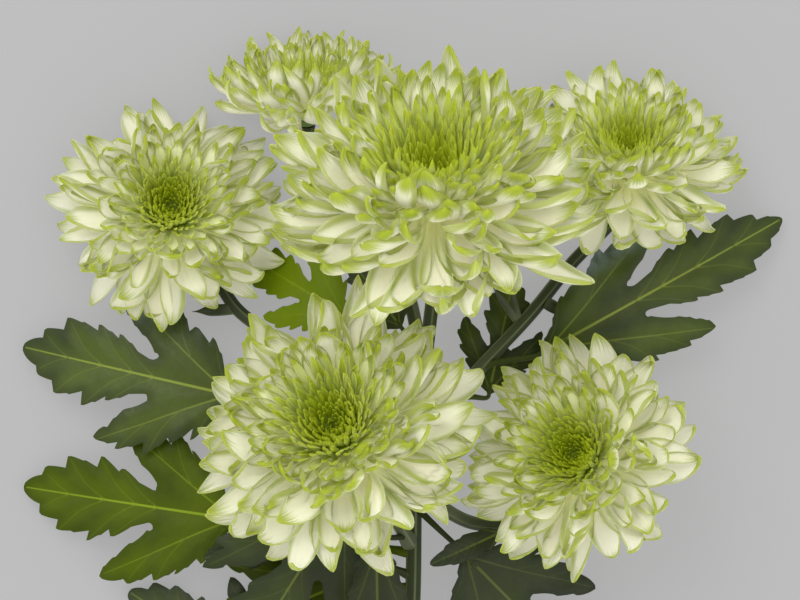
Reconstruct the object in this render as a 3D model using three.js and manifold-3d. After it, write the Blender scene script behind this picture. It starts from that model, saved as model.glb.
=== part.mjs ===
// A cut spray chrysanthemum lying on its back: one stem that branches to six double flower heads, each with
// a green bract cup, cupped ray florets and a green eye, and lobed leaves along the stem.
// Millimetres. +Z points up from the table, +Y along the stem from its cut end to the flowers.
import * as THREE from "three";
import { mergeVertices } from "three/addons/utils/BufferGeometryUtils.js";
import Module from "manifold-3d";

const wasm = await Module();
wasm.setup();

// Driving sizes
const GAP = 0.3; // clear distance between pieces that touch
const ORIGIN = [1, -70, 0]; // the middle of the whole spray's outline, on the table
const TABLE_SIZE = 900;
const SHORTEST_EDGE = 0.02; // slivers finer than this are smoothed away
const STEM = { cutRadius: 3.1, branchRadius: 2.3, stalkRadius: 2.1, sides: 7, steps: 13, branchSteps: 8 };
const SCALE_THICKNESS = 1.2;
const FLORET_THICKNESS = 1.2;
const LEAF_THICKNESS = 0.7;
const PETIOLE = { rootRadius: 1.1, endRadius: 0.7, sides: 5, steps: 4, sunk: 0.4 };

// Flower heads. seat is where a head sits on its stalk, faces is the way that it looks.
// droop is the angle of the lowest florets below the head's own plane, in degrees.
const HEADS = [
  { name: "centre", seat: [12, 34, 80], faces: [-0.06, 0.76, 0.64], radius: 53, florets: 60, droop: 38 },
  { name: "front", seat: [-20, -44, 66], faces: [-0.18, 0.38, 0.91], radius: 46.5, florets: 57, droop: 36 },
  { name: "front_right", seat: [61, -53.5, 44], faces: [-0.36, 0.28, 0.89], radius: 39.5,
    florets: 48, droop: 30 },
  { name: "left", seat: [-78.5, 29, 18], faces: [0.06, 0.32, 0.94], radius: 39, florets: 49, droop: 44 },
  { name: "right", seat: [76.5, 44, 23], faces: [0.02, 0.75, 0.66], radius: 37.5, florets: 47, droop: 34 },
  { name: "back", seat: [-32, 65.5, 18], faces: [-0.1, 0.9, 0.42], radius: 33.5, florets: 41, droop: -8 },
];

// Sizes in a head, as shares of its radius
const CUP = { height: 0.15, footRadius: 0.08, waistRadius: 0.17, radius: 0.26, sides: 12, scallop: 0.08 };
const CORE = { footRadius: 0.25, radius: 0.4, shoulder: 0.11, neckRadius: 0.36, neck: 0.25, sides: 9 };
const EYE = { radius: 0.27, floor: 0.28, rim: 0.05, middle: 0.03, sides: 7 };
const HORNS = { count: 14, sides: 3, height: [0.09, 0.19], radius: 0.045, spread: 0.19, lean: 0.06 };
const HORN_FOOT = 0.006; // how high the eye's florets start above the underside of their dome

// Forms of a floret, each from the outermost floret to the middle of the head. Lengths are shares
// of the head's radius, angles are degrees above the head's own plane.
const FLORET = {
  rootRadius: [0.25, 0.24],
  rootHeight: [0.05, 0.25],
  length: [0.88, 0.3],
  halfWidth: [0.155, 0.075],
  innerAngle: 74,
  cup: [0.35, 0.7],
};
const FLORET_CURL = [22, 40]; // how far a floret bends up over its length, drawn for each
const FLORET_LOOSENESS = { length: 0.06, angle: 4, azimuth: 4 };
const HORN_LOOSENESS = 0.1;
const FLORET_STATIONS = [[0, 0.2], [0.74, 1], [1, 0]]; // share of the length, share of the half width
const RAY_SHARE = 0.68; // the share of a head's florets, from the outside in, that are white rays
const CROWDING = 1.15; // above 1 the florets stand closer together at the outside
const GOLDEN_ANGLE = 137.508;

// The stem and its branches, as the points that their middles run through.
// The last stretch of each is worked out from the head that it carries.
const STALK_LENGTH = 0.42; // straight stretch under a head, from its seat, as a share of its radius
const STEM_ROUTE = [[0, -235, 2.9], [-1, -165, 6], [4, -105, 12], [5, -62, 19], [8, -25, 29], [11, 2, 46]];
const BRANCHES = [
  { head: "front", route: [[4, -84, 16], [-4, -70, 30]] },
  { head: "front_right", route: [[5, -62, 19], [14, -70, 18], [26, -76, 15], [46, -75, 16]] },
  { head: "left", route: [[4, -72, 17], [-19, -38, 15], [-45, -12, 11], [-56, -3, 8], [-65, 10, 6]] },
  { head: "right", route: [[7, -46, 23], [26, -24, 21], [44, -5, 16], [58, 12, 10]] },
  { head: "back", route: [[8, -24, 29], [2, 4, 23], [-10, 28, 14]] },
];
// Small scale leaves that grow as one with the stem, each from its middle to its own tip
const SCALE_LEAVES = [
  { from: [-55, -3, 8], tip: [-71, -4, 12], halfWidth: 2 },
  { from: [41, -9, 17], tip: [31, 5, 22], halfWidth: 1.4 },
  { from: [41, -9, 17], tip: [37, 6, 21], halfWidth: 1.2 },
  { from: [48, 0, 14], tip: [57, -5, 18], halfWidth: 2.2 },
];

// One side of a leaf's edge from base to tip, along and across the blade as shares of its length:
// the teeth of the side lobe, the bay behind it, and the teeth of the end lobe
const LOBED_EDGE = [
  [0.05, 0.045], [0.165, 0.225], [0.18, 0.19], [0.36, 0.335], [0.37, 0.3], [0.48, 0.345], [0.6, 0.33],
  [0.5, 0.2], [0.395, 0.09], [0.5, 0.11], [0.575, 0.152], [0.59, 0.134], [0.672, 0.18], [0.685, 0.138],
  [0.818, 0.166], [0.83, 0.118], [0.915, 0.096],
];
// The same for a small plain leaf
const LANCE_EDGE = [[0.05, 0.03], [0.3, 0.135], [0.55, 0.15], [0.57, 0.13], [0.79, 0.095]];
// Leaves. root is in the stem or a branch, base and tip are the blade's two ends.
// width scales the blade's breadth, arch is how far it stands up as a share of its length.
const LEAF = { edge: LOBED_EDGE, width: 1, arch: 0.08, tone: "dark" };
const BRIGHT = "bright";
const LEAVES = [
  { name: "leaf_left_upper", root: [-27, -31, 14], base: [-54, -33, 19], tip: [-129, -16, 7], arch: 0.05 },
  { name: "leaf_left_lower", root: [3, -86, 15], base: [-53, -75, 15], tip: [-129, -64, 4], arch: 0.04,
    tone: BRIGHT },
  { name: "leaf_right", root: [28, -22, 21], base: [46, -19, 20], tip: [131, 28, 4], width: 0.66 },
  { name: "leaf_right_inner", root: [18, -33, 22], base: [30, -33, 13], tip: [39, 8, 6] },
  { name: "leaf_left_inner", root: [4, -2, 24], base: [-17, -6, 24], tip: [-52, 15, 5], tone: BRIGHT },
  { name: "leaf_middle", root: [7, -23, 31], base: [1, -10, 34], tip: [-17, 14, 26] },
  { name: "leaf_front_narrow", root: [4, -80, 17], base: [-8, -80, 35], tip: [-7, -132, 26], width: 0.6 },
  { name: "leaf_front_left", root: [4, -68, 18], base: [-16, -63, 27], tip: [-60, -133, 14], arch: 0.05 },
  { name: "leaf_tucked_left", root: [4, -94, 14], base: [-34, -77, 21], tip: [-67, -88, 16], width: 0.7 },
  { name: "leaf_low_left", root: [2, -130, 9], base: [-37, -136, 7], tip: [-93, -100, 3], arch: 0.02 },
  { name: "leaf_low_bright", root: [4, -98, 13], base: [-16, -95, 12], tip: [-74, -120, 8], arch: 0.02,
    tone: BRIGHT },
  { name: "leaf_front_right", root: [5, -70, 18], base: [20, -84, 24], tip: [68, -133, 6] },
  { name: "leaf_small_right", root: [44, -75, 16], base: [35, -78, 25], tip: [10, -89, 32],
    edge: LANCE_EDGE },
  { name: "leaf_bottom_right", root: [0, -152, 7], base: [16, -155, 11], tip: [82, -176, 3] },
  { name: "leaf_bottom_left", root: [-1, -172, 5], base: [-12, -176, 0.3], tip: [-80, -196, 0.3], arch: 0 },
];
const MIDRIB = [1, 0.85, 0.65, 0.45, 0.25, 0]; // shared points of a leaf's two halves
const EDGE_LOOSENESS = { along: 0.006, across: 0.06 };
const MIDRIB_FOLD = 2; // how steeply a blade rises beside its midrib, and
const EDGE_DROP = 8; // how fast it falls to its edges, both as multiples of its arch
const MIDRIB_RUN = 0.1; // how far a leaf's stalk runs on under its blade

const FINISHES = {
  rays: { color: 0xe9eec2, roughness: 0.6, metalness: 0 },
  eye: { color: 0x8fae1c, roughness: 0.6, metalness: 0 },
  bracts: { color: 0x5b7d2c, roughness: 0.7, metalness: 0 },
  stem: { color: 0x55673a, roughness: 0.65, metalness: 0 },
  dark: { color: 0x36502a, roughness: 0.5, metalness: 0 },
  bright: { color: 0x5f8a1e, roughness: 0.55, metalness: 0 },
};

const UP = new THREE.Vector3(0, 0, 1);
const vec = (numbers) => new THREE.Vector3(...numbers);
const mix = (a, b, t) => a + (b - a) * t;
const rad = THREE.MathUtils.degToRad;

// A seeded draw between 0 and 1, so that every build is the same.
function draws(seed) {
  let state = seed;
  return () => {
    state = (state + 0x6d2b79f5) | 0;
    let x = Math.imul(state ^ (state >>> 15), 1 | state);
    x = (x + Math.imul(x ^ (x >>> 7), 61 | x)) ^ x;
    return ((x ^ (x >>> 14)) >>> 0) / 4294967296;
  };
}
const around = (draw, spread) => mix(-spread, spread, draw());

// A closed solid from a geometry, with each of its points moved by place.
function solidOf(geometry, place = (p) => p) {
  geometry.deleteAttribute("normal");
  geometry.deleteAttribute("uv");
  const position = geometry.getAttribute("position");
  for (let i = 0; i < position.count; i++) {
    const moved = place(new THREE.Vector3().fromBufferAttribute(position, i));
    position.setXYZ(i, moved.x, moved.y, moved.z);
  }
  const merged = mergeVertices(geometry, 1e-4);
  const corners = Array.from(merged.getIndex().array);
  const make = (triVerts) =>
    new wasm.Manifold(
      new wasm.Mesh({
        numProp: 3,
        vertProperties: merged.getAttribute("position").array,
        triVerts: new Uint32Array(triVerts),
      }),
    );
  const solid = make(corners);
  return solid.volume() > 0 ? solid : make(corners.reverse()); // a mirrored piece comes inside out
}

// A round tube along a smooth route, with a radius that changes along it.
function tube(route, radiusAt, sides, steps) {
  const path = new THREE.CatmullRomCurve3(route, false, "centripetal");
  const circle = new THREE.Path().absarc(0, 0, 1, 0, 2 * Math.PI);
  const section = new THREE.Shape(circle.getSpacedPoints(sides));
  const geometry = new THREE.ExtrudeGeometry(section, { steps, bevelEnabled: false, extrudePath: path });
  const middles = path.getSpacedPoints(steps);
  return solidOf(geometry, (p) => {
    const distances = middles.map((middle) => middle.distanceTo(p));
    const i = distances.indexOf(Math.min(...distances));
    return middles[i].clone().lerp(p, radiusAt(i / steps));
  });
}

// A solid turned about +Z from a profile of [radius, height] points that starts and ends on the axis.
function turned(profile, sides, place) {
  const points = profile.map(([radius, height]) => new THREE.Vector2(radius, height));
  return solidOf(new THREE.LatheGeometry(points, sides).rotateX(Math.PI / 2), place);
}

// A pointed blade with a four-sided section: two edges, a ridge below and a crease above.
// at gives the middle, directions, half width and cup of its three stations, from the root to the tip.
function pointedBlade(at, thickness) {
  return solidOf(new THREE.ConeGeometry(1, 1, 4, 2), (p) => {
    const station = at(Math.round(2 * (p.y + 0.5)));
    const reach = Math.hypot(p.x, p.z) || 1;
    const across = Math.round(p.x / reach);
    const below = Math.max(0, Math.round(-p.z / reach));
    const lift = station.cup * station.half * Math.abs(across) - thickness * below;
    return station.middle
      .clone()
      .addScaledVector(station.side, across * station.half)
      .addScaledVector(station.up, lift);
  });
}

// The largest body of a solid, without the loose scraps that a cut can leave.
function largest(solid) {
  return solid.decompose().reduce((a, b) => (b.volume() > a.volume() ? b : a));
}

function meshOf(solid, name, finish) {
  const { vertProperties, triVerts } = largest(solid.simplify(SHORTEST_EDGE)).getMesh();
  const geometry = new THREE.BufferGeometry();
  geometry.setAttribute("position", new THREE.BufferAttribute(vertProperties, 3));
  geometry.setIndex(new THREE.BufferAttribute(triVerts, 1));
  geometry.computeVertexNormals();
  const mesh = new THREE.Mesh(geometry, new THREE.MeshStandardMaterial(FINISHES[finish]));
  mesh.name = name;
  return mesh;
}

// Everything under the table's top, cut away so that what rests on it has a small flat.
const underTable = solidOf(
  new THREE.BoxGeometry(TABLE_SIZE, TABLE_SIZE, TABLE_SIZE).translate(0, 0, -TABLE_SIZE / 2),
);

// Form of the floret at age t, from 0 for the outermost to 1 at the middle of the head.
function floretForm(head, t, draw) {
  const share = (pair, power = 1) => mix(...pair, Math.pow(t, power));
  const loose = 1 + around(draw, FLORET_LOOSENESS.length);
  return {
    rootRadius: head.radius * share(FLORET.rootRadius),
    rootHeight: head.radius * share(FLORET.rootHeight),
    length: head.radius * share(FLORET.length) * loose,
    halfWidth: head.radius * share(FLORET.halfWidth),
    angle: rad(share([-head.droop, FLORET.innerAngle], 0.8) + around(draw, FLORET_LOOSENESS.angle)),
    curl: rad(mix(...FLORET_CURL, draw())),
    cup: share(FLORET.cup),
  };
}

// One ray floret: a cupped blade that bends upwards along an arc, in the head's own frame.
function rayFloret(form, azimuth) {
  const out = new THREE.Vector3(Math.cos(azimuth), Math.sin(azimuth), 0);
  const side = new THREE.Vector3(-Math.sin(azimuth), Math.cos(azimuth), 0);
  const arcRadius = form.length / form.curl;
  return pointedBlade((k) => {
    const [s, share] = FLORET_STATIONS[k];
    const angle = form.angle + form.curl * s;
    const reach = form.rootRadius + arcRadius * (Math.sin(angle) - Math.sin(form.angle));
    const height = form.rootHeight + arcRadius * (Math.cos(form.angle) - Math.cos(angle));
    return {
      middle: out.clone().multiplyScalar(reach).setZ(height),
      up: out.clone().multiplyScalar(-Math.sin(angle)).setZ(Math.cos(angle)),
      side,
      half: form.halfWidth * share,
      cup: form.cup,
    };
  }, FLORET_THICKNESS);
}

// The ray florets of a head, in layers round a core that has a hollow for the eye.
function raysSolid(head, draw) {
  const R = head.radius;
  const florets = Array.from({ length: head.florets }, (_, i) => {
    const t = RAY_SHARE * Math.pow((i + 0.5) / head.florets, CROWDING);
    const azimuth = rad(i * GOLDEN_ANGLE + around(draw, FLORET_LOOSENESS.azimuth));
    return rayFloret(floretForm(head, t, draw), azimuth);
  });
  const core = [
    [0, 0], [CORE.footRadius * R, 0], [CORE.radius * R, CORE.shoulder * R],
    [CORE.neckRadius * R, CORE.neck * R], [EYE.radius * R, EYE.floor * R], [0, EYE.floor * R],
  ];
  const hollowRadius = EYE.radius * R + GAP;
  const hollow = [[0, EYE.floor * R], [hollowRadius, EYE.floor * R], [hollowRadius, R], [0, R]];
  return wasm.Manifold.union([turned(core, CORE.sides), ...florets]).subtract(turned(hollow, CORE.sides));
}

// One floret of the eye: a slim three-sided horn that leans outwards.
function eyeHorn(R, share, floor, draw, azimuth) {
  const height = R * mix(...HORNS.height, share) * (1 + around(draw, HORN_LOOSENESS));
  const cone = new THREE.ConeGeometry(R * HORNS.radius, height, HORNS.sides);
  cone.translate(0, height / 2, 0).rotateX(Math.PI / 2).rotateZ(azimuth);
  const out = new THREE.Vector3(Math.cos(azimuth), Math.sin(azimuth), 0);
  const standsAt = out.clone().multiplyScalar(R * HORNS.spread * share).setZ(floor);
  return solidOf(cone, (p) => p.addScaledVector(out, (R * HORNS.lean * p.z) / height).add(standsAt));
}

// The green eye: short florets on a low dome in the hollow of the head.
function eyeSolid(head, draw) {
  const R = head.radius;
  const floor = EYE.floor * R + GAP;
  const rimRadius = EYE.radius * R - 2 * GAP;
  const dome = [
    [0, floor], [rimRadius, floor], [0.8 * rimRadius, floor + EYE.rim * R], [0, floor + EYE.middle * R],
  ];
  const horns = Array.from({ length: HORNS.count }, (_, i) => {
    const share = Math.sqrt((i + 0.5) / HORNS.count);
    return eyeHorn(R, share, floor + HORN_FOOT * R, draw, rad(i * GOLDEN_ANGLE));
  });
  return wasm.Manifold.union([turned(dome, EYE.sides), ...horns]);
}

// The cup of green bracts under a head, its upper half drawn out into their tips.
function bractCup(head) {
  const R = head.radius;
  const height = CUP.height * R;
  const profile = [
    [0, -height], [CUP.footRadius * R, -height], [CUP.waistRadius * R, -0.7 * height],
    [0.93 * CUP.radius * R, -0.35 * height], [CUP.radius * R, -GAP], [0, -GAP],
  ];
  return turned(profile, CUP.sides, (p) => {
    const tips = Math.cos((CUP.sides / 2) * Math.atan2(p.y, p.x));
    const scallop = p.z > -0.5 * height ? 1 + CUP.scallop * tips : 1;
    return new THREE.Vector3(p.x * scallop, p.y * scallop, p.z);
  });
}

// The way that a head looks, and the route of its branch, which ends square to the head under its cup.
const facing = (head) => vec(head.faces).normalize();
function routeTo(head, route) {
  const back = (distance) => vec(head.seat).addScaledVector(facing(head), -distance);
  return [...route.map(vec), back(STALK_LENGTH * head.radius), back(CUP.height * head.radius + GAP)];
}

// A small pointed scale: a blade that starts inside the stem.
function scaleLeaf({ from, tip, halfWidth }, extra) {
  const along = vec(tip).sub(vec(from)).normalize();
  const side = UP.clone().cross(along).normalize();
  const up = along.clone().cross(side);
  const top = (share) => vec(from).lerp(vec(tip), share).addScaledVector(up, extra);
  const stations = [
    { middle: top(0), half: 0.6 * halfWidth + extra },
    { middle: top(0.35), half: halfWidth + extra },
    { middle: top(1).addScaledVector(along, extra), half: 0 },
  ];
  return pointedBlade((k) => ({ ...stations[k], side, up, cup: 0 }), SCALE_THICKNESS + 2 * extra);
}

// The whole branched stem, with extra added all round where other pieces have to stay clear of it.
function stemSolid(extra) {
  const headNamed = (name) => HEADS.find((head) => head.name === name);
  const taper = (from) => (u) => mix(from, STEM.stalkRadius, u) + extra;
  const main = tube(routeTo(headNamed("centre"), STEM_ROUTE), taper(STEM.cutRadius), STEM.sides, STEM.steps);
  const branches = BRANCHES.map(({ head, route }) =>
    tube(routeTo(headNamed(head), route), taper(STEM.branchRadius), STEM.sides, STEM.branchSteps),
  );
  const scales = SCALE_LEAVES.map((scale) => scaleLeaf(scale, extra));
  return wasm.Manifold.union([main, ...branches, ...scales]);
}

// The triangles of a thin plate as a list of numbers, without those of its wall along the midrib,
// where the plate's other half joins on.
function openAtMidrib(plate) {
  const numbers = Array.from(plate.getAttribute("position").array);
  const triangles = Array.from({ length: numbers.length / 9 }, (_, i) => numbers.slice(9 * i, 9 * i + 9));
  return triangles.filter(([, y1, , , y2, , , y3]) => y1 !== 0 || y2 !== 0 || y3 !== 0).flat();
}

// A lobed leaf: a thin toothed blade in two halves that arch from the midrib, on a stalk sunk in its base.
function leafSolid(leaf, draw) {
  const base = vec(leaf.base);
  const tip = vec(leaf.tip);
  const length = base.distanceTo(tip);
  const along = tip.clone().sub(base).normalize();
  const side = UP.clone().cross(along).normalize();
  const up = along.clone().cross(side);
  const place = (u, v) => {
    const lift = 4 * u * (1 - u) + MIDRIB_FOLD * Math.abs(v) - EDGE_DROP * v * v;
    return base
      .clone()
      .addScaledVector(along, u * length)
      .addScaledVector(side, v * leaf.width * length)
      .addScaledVector(up, lift * leaf.arch * length);
  };
  const halves = [1, -1].flatMap((sign) => {
    const edge = leaf.edge.map(([u, v]) => [
      u + around(draw, EDGE_LOOSENESS.along),
      sign * v * (1 + around(draw, EDGE_LOOSENESS.across)),
    ]);
    const outline = [...edge, ...MIDRIB.map((u) => [u, 0])].map((point) => new THREE.Vector2(...point));
    const settings = { depth: LEAF_THICKNESS, bevelEnabled: false };
    return openAtMidrib(new THREE.ExtrudeGeometry(new THREE.Shape(outline), settings));
  });
  const flat = new THREE.BufferGeometry();
  flat.setAttribute("position", new THREE.Float32BufferAttribute(halves, 3));
  const blade = solidOf(flat, (p) => place(p.x, p.y).addScaledVector(up, p.z - LEAF_THICKNESS / 2));
  const root = vec(leaf.root);
  const halfway = root.clone().lerp(base, 0.5).addScaledVector(up, PETIOLE.rootRadius);
  const ends = [base, place(MIDRIB_RUN, 0)].map((p) => p.clone().addScaledVector(up, -PETIOLE.sunk));
  const radiusAt = (u) => mix(PETIOLE.rootRadius, PETIOLE.endRadius, u);
  const petiole = tube([root, halfway, ...ends], radiusAt, PETIOLE.sides, PETIOLE.steps);
  return blade.add(petiole);
}

// The laid-out spray
const spray = new THREE.Group();
spray.position.set(...ORIGIN).negate();
const stemRoom = stemSolid(GAP);
spray.add(meshOf(stemSolid(0).subtract(underTable), "stem", "stem"));

HEADS.forEach((head, i) => {
  const draw = draws(101 + i);
  const group = new THREE.Group();
  group.position.set(...head.seat);
  group.quaternion.setFromUnitVectors(UP, facing(head));
  group.updateMatrix();
  const toHead = group.matrix.clone().invert().toArray();
  const table = underTable.transform(toHead);
  const rays = raysSolid(head, draw).subtract(table).subtract(stemRoom.transform(toHead));
  group.add(meshOf(bractCup(head).subtract(table), `bract_cup_${head.name}`, "bracts"));
  group.add(meshOf(rays, `ray_florets_${head.name}`, "rays"));
  group.add(meshOf(eyeSolid(head, draw), `eye_${head.name}`, "eye"));
  spray.add(group);
});

LEAVES.map((leaf) => ({ ...LEAF, ...leaf })).forEach((leaf, i) => {
  const solid = leafSolid(leaf, draws(301 + i)).subtract(stemRoom).subtract(underTable);
  spray.add(meshOf(solid, leaf.name, leaf.tone));
});

export default spray;
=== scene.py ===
import math

import bpy
import numpy as np
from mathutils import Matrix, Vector, geometry


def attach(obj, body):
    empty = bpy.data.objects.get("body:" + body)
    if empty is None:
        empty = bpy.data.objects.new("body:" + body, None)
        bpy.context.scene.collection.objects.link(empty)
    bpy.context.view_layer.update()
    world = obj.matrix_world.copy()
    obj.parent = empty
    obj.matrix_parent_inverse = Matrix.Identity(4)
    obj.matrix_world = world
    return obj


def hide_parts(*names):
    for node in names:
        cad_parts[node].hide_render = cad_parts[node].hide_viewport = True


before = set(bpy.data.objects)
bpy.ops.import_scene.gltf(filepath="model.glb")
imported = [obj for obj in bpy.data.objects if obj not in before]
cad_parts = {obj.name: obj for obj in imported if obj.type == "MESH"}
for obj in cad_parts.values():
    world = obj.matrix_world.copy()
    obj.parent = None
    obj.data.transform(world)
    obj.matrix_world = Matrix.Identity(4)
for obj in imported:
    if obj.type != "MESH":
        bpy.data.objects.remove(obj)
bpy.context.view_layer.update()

MM = 0.001
ORIGIN = np.array([1.0, -70.0, 0.0])  # the frame's origin in the lengths below
GAP = 0.3  # between a bract cup and the head or stalk that it meets
GOLDEN = math.radians(137.508)  # the turn from one floret to the next
PRESSED = 0.5  # how softly florets flatten where they lie on the table
SHARP = math.radians(70)  # edges with a sharper turn, such as a petal's rim, aren't smoothed over
FIRST_HEAD_SEED = 101
FIRST_LEAF_SEED = 301

# Heads: seat is the middle of the base, faces the way it looks and radius about the reach of its longest
# florets. droop is how far the outermost ones hang, in degrees. slim narrows all florets, and young makes
# them greener.
HEADS = {
    "centre": dict(seat=(12, 32.4, 80), faces=(-0.06, 0.76, 0.64), radius=51.5, florets=285, droop=38),
    "front": dict(seat=(-20, -44.5, 66), faces=(-0.18, 0.38, 0.91), radius=46, florets=220, droop=36),
    "front_right": dict(seat=(61, -53.5, 44), faces=(-0.36, 0.28, 0.89), radius=39.5, florets=180,
                        droop=30),
    "left": dict(seat=(-78, 29, 18), faces=(0.06, 0.32, 0.94), radius=38.3, florets=180, droop=44),
    "right": dict(seat=(76.5, 44, 23), faces=(0.02, 0.75, 0.66), radius=37.5, florets=215, droop=40),
    "back": dict(seat=(-32, 64, 18), faces=(-0.1, 0.9, 0.42), radius=31.8, florets=214, droop=4,
                 slim=0.84, young=0.08),
}

# Radii of the stem at its cut end, of a branch at its root and of the stalk under a head
STEM = dict(cut=3.1, branch=2.3, stalk=2.1)
STALK_LENGTH = 0.42  # where a stalk turns into line with its head, as a share of the head's radius
CUP_HEIGHT = 0.15  # of a bract cup, as a share of the head's radius
# Points that the middles of the stem and its branches run through before their stalks
STEM_ROUTE = [(0, -235, 2.9), (-1, -165, 6), (4, -105, 12), (5, -62, 19), (8, -25, 29), (11, 2, 46)]
BRANCHES = {
    "front": [(4, -84, 16), (-4, -70, 30)],
    "front_right": [(5, -62, 19), (14, -70, 18), (26, -76, 15), (46, -75, 16)],
    "left": [(4, -72, 17), (-19, -38, 15), (-45, -12, 11), (-56, -3, 8), (-65, 10, 6)],
    "right": [(7, -46, 23), (26, -24, 21), (44, -5, 16), (58, 12, 10)],
    "back": [(8, -24, 29), (2, 4, 23), (-10, 28, 14)],
}
# Small leaves on the branches: root, tip and half width
SCALE_LEAVES = [
    ((-55, -3, 8), (-71, -4, 12), 2),
    ((41, -9, 17), (31, 5, 22), 1.4),
    ((41, -9, 17), (37, 6, 21), 1.2),
    ((48, 0, 14), (57, -5, 18), 2.2),
]

# Leaves: root is in the stem or a branch, and base and tip are the blade's two ends. arch is its rise as a
# share of its length, and width its breadth as a share of the usual one. lance picks the narrow outline and
# bright the lighter material. shade darkens the blade with painted shade and light yellows it with painted
# light, and a painted grey reflection is given its place along the blade, its side and its reach.
LEAVES = {
    "leaf_left_upper": dict(root=(-27, -31, 14), base=(-54, -33, 19), tip=(-129, -16, 7),
                            arch=0.05, painted_reflection=(0.55, -1, 0.12)),
    "leaf_left_lower": dict(root=(3, -86, 15), base=(-53, -75, 15), tip=(-129, -64, 4),
                            arch=0.04, bright=True),
    "leaf_right": dict(root=(28, -22, 21), base=(46, -19, 20), tip=(131, 28, 4),
                       width=0.66, painted_reflection=(0.38, 1, 0.2)),
    "leaf_right_inner": dict(root=(18, -33, 22), base=(30, -33, 13), tip=(39, 8, 6)),
    "leaf_left_inner": dict(root=(4, -2, 24), base=(-17, -6, 24), tip=(-52, 15, 5), bright=True, light=0.6),
    "leaf_middle": dict(root=(7, -23, 31), base=(1, -10, 34), tip=(-17, 14, 26), shade=0.3),
    "leaf_front_narrow": dict(root=(4, -80, 17), base=(-8, -80, 35), tip=(-7, -132, 26),
                              width=0.6, shade=0.6),
    "leaf_front_left": dict(root=(4, -68, 18), base=(-16, -63, 27), tip=(-60, -133, 14),
                            arch=0.05, shade=0.5),
    "leaf_tucked_left": dict(root=(4, -94, 14), base=(-34, -77, 21), tip=(-67, -88, 16),
                             width=0.7, shade=0.55),
    "leaf_low_left": dict(root=(2, -130, 9), base=(-37, -136, 7), tip=(-93, -100, 3),
                          arch=0.02, shade=0.35),
    "leaf_low_bright": dict(root=(4, -98, 13), base=(-16, -95, 12), tip=(-74, -120, 8),
                            arch=0.02, bright=True),
    "leaf_front_right": dict(root=(5, -70, 18), base=(20, -84, 24), tip=(68, -133, 6), shade=0.65),
    "leaf_small_right": dict(root=(44, -75, 16), base=(35, -78, 25), tip=(10, -89, 32),
                             lance=True, shade=0.55),
    "leaf_bottom_right": dict(root=(0, -152, 7), base=(16, -155, 11), tip=(82, -176, 3), shade=0.9),
    "leaf_bottom_left": dict(root=(-1, -172, 5), base=(-12, -176, 0.3), tip=(-80, -196, 0.3), arch=0),
}


def mix(a, b, t):
    return a + (b - a) * t


def smooth(low, high, value):
    """0 below low and 1 above high, with a smooth step between."""
    t = np.clip((value - low) / (high - low), 0, 1)
    return t * t * (3 - 2 * t)


def unit(v):
    v = np.asarray(v, float)
    return v / np.linalg.norm(v)


def running(steps, axis):
    """Running sums along an axis, starting from 0."""
    start = np.zeros_like(np.take(steps, [0], axis))
    return np.concatenate([start, np.cumsum(steps, axis)], axis)


# Meshes

def make_piece(name, points, faces, material, layers, replaced):
    """A smooth mesh object in the frame. Its layers are values for each point, stored under their names."""
    mesh = bpy.data.meshes.new(name)
    mesh.from_pydata((np.asarray(points) - ORIGIN) * MM, [], faces)
    for layer, values in layers.items():
        attribute = mesh.attributes.new(layer, "FLOAT", "POINT")
        attribute.data.foreach_set("value", np.asarray(values, np.float32))
    mesh.shade_smooth()
    mesh.set_sharp_from_angle(angle=SHARP)
    mesh.materials.append(material)
    mesh.validate()
    piece = bpy.data.objects.new(name, mesh)
    bpy.context.scene.collection.objects.link(piece)
    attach(piece, "root")
    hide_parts(*replaced)


def joined(parts):
    """Joins (points, faces, values) parts into one. A part's value may be one number for all its points."""
    points = []
    faces = []
    names = parts[0][2].keys()
    values = {name: [] for name in names}
    start = 0
    for part_points, part_faces, part_values in parts:
        points.append(part_points)
        faces.extend([tuple(int(i) + start for i in face) for face in part_faces])
        start += len(part_points)
        for name in names:
            values[name].append(np.broadcast_to(part_values[name], len(part_points)))
    return np.concatenate(points), faces, {name: np.concatenate(v) for name, v in values.items()}


def ring_faces(rings, sides):
    """Faces of a closed body that is a row of rings with as many points each, and its two end caps."""
    faces = []
    for ring in range(rings - 1):
        for k in range(sides):
            a = ring * sides + k
            b = ring * sides + (k + 1) % sides
            faces.append((a, b, b + sides, a + sides))
    faces.append(tuple(range(sides))[::-1])
    faces.append(tuple((rings - 1) * sides + k for k in range(sides)))
    return faces


def lathe(profile, sides):
    """A closed body turned from (radius, height) points."""
    angles = 2 * np.pi * np.arange(sides) / sides
    circle = np.stack([np.cos(angles), np.sin(angles)], 1)
    rings = [np.column_stack([radius * circle, np.full(sides, height)]) for radius, height in profile]
    return np.concatenate(rings), ring_faces(len(rings), sides)


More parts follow.
